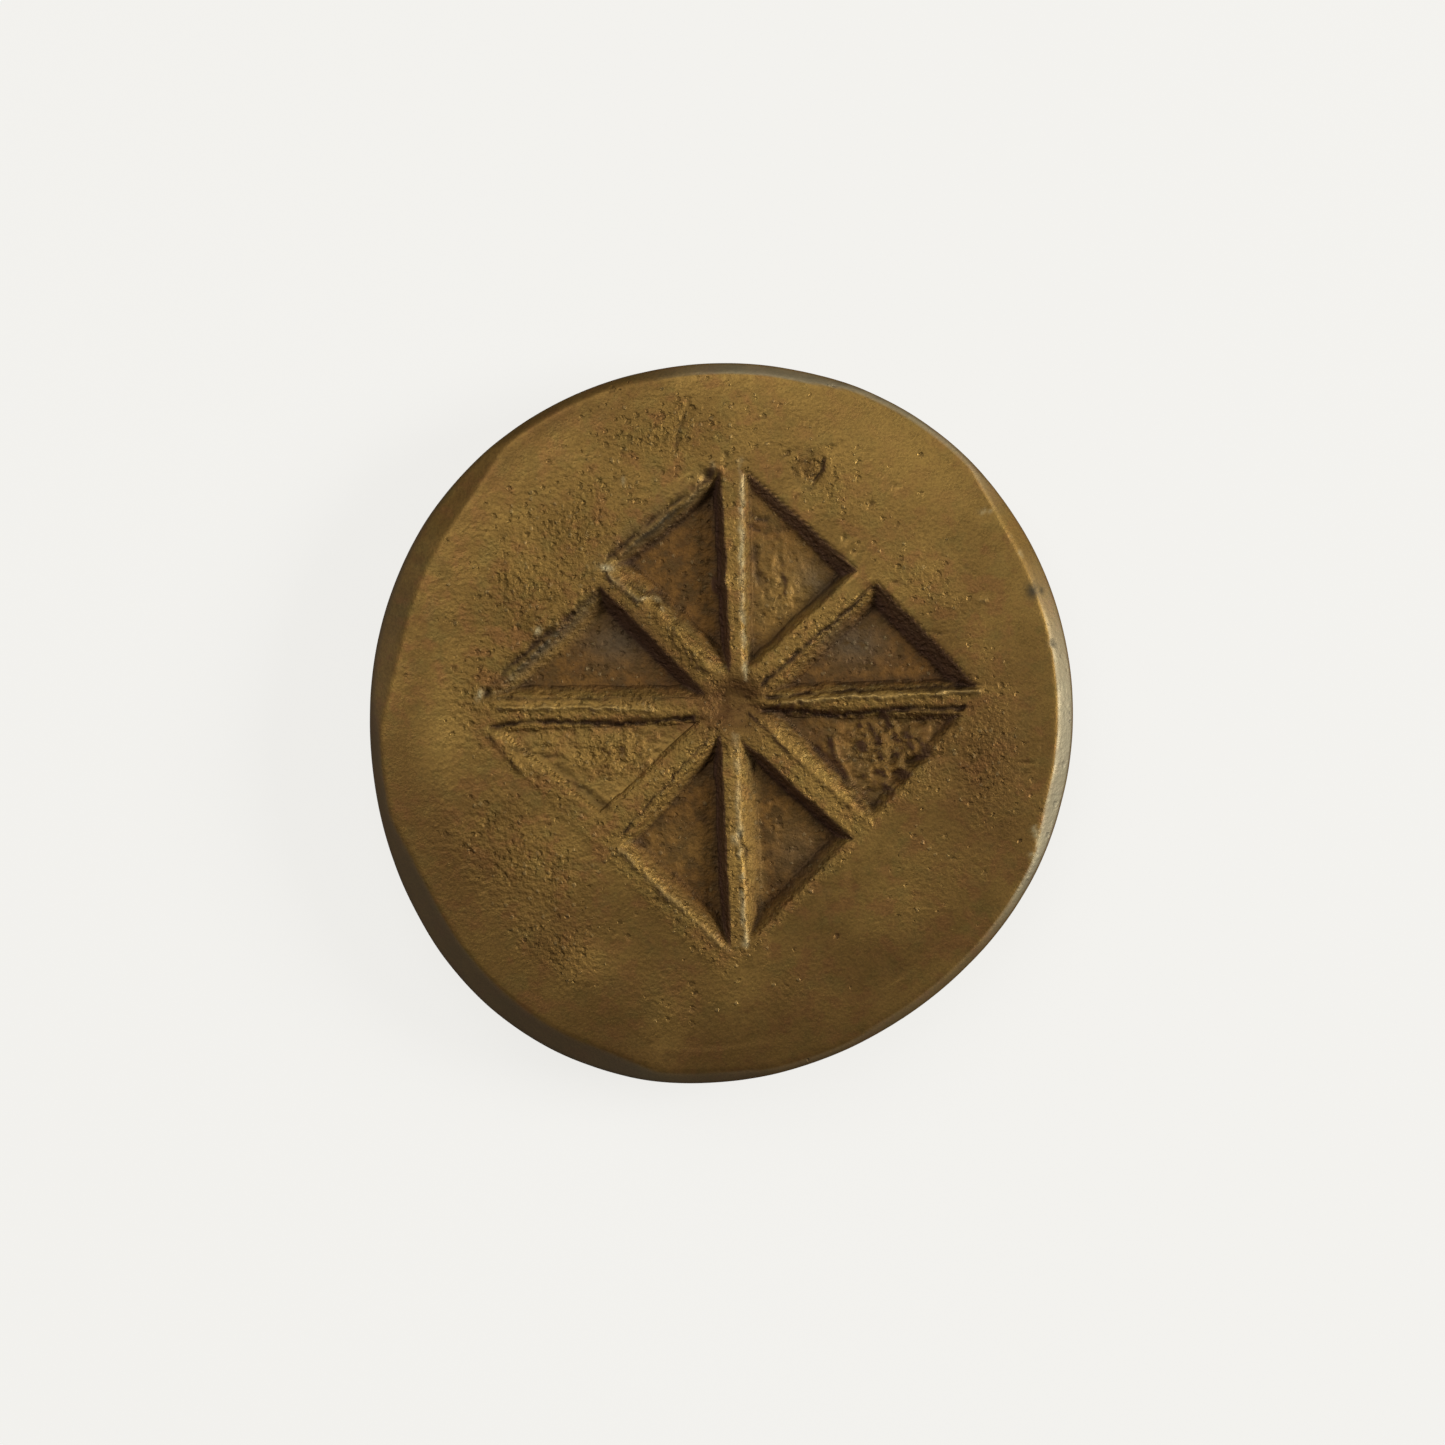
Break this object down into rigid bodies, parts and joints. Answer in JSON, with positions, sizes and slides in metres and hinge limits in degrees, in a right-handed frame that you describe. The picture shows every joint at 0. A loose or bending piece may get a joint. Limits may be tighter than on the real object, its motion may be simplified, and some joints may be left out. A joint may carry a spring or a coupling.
{
  "type": "transit token",
  "caption": "Thick, slightly out-of-round cast brass token with hand-filed bevels and a sunk lozenge divided by radiating ribs into triangular pockets; plain flat back.",
  "frame": {"origin": "middle of the bounding box in plan, on the plane of the flat back", "axes": "+Z out of the patterned face, +Y towards the pattern's north rib, +X towards its east rib; the token lies on its back"},
  "size_m": [0.0374, 0.0384, 0.005],
  "materials": {
    "cast_brass": "sand-cast brass with a brown patina, worn smooth and brighter on the rim, ribs and high spots, darker in the pockets"
  },
  "bodies": {
    "root": {"token": "cast_brass"}
  },
  "joints": []
}
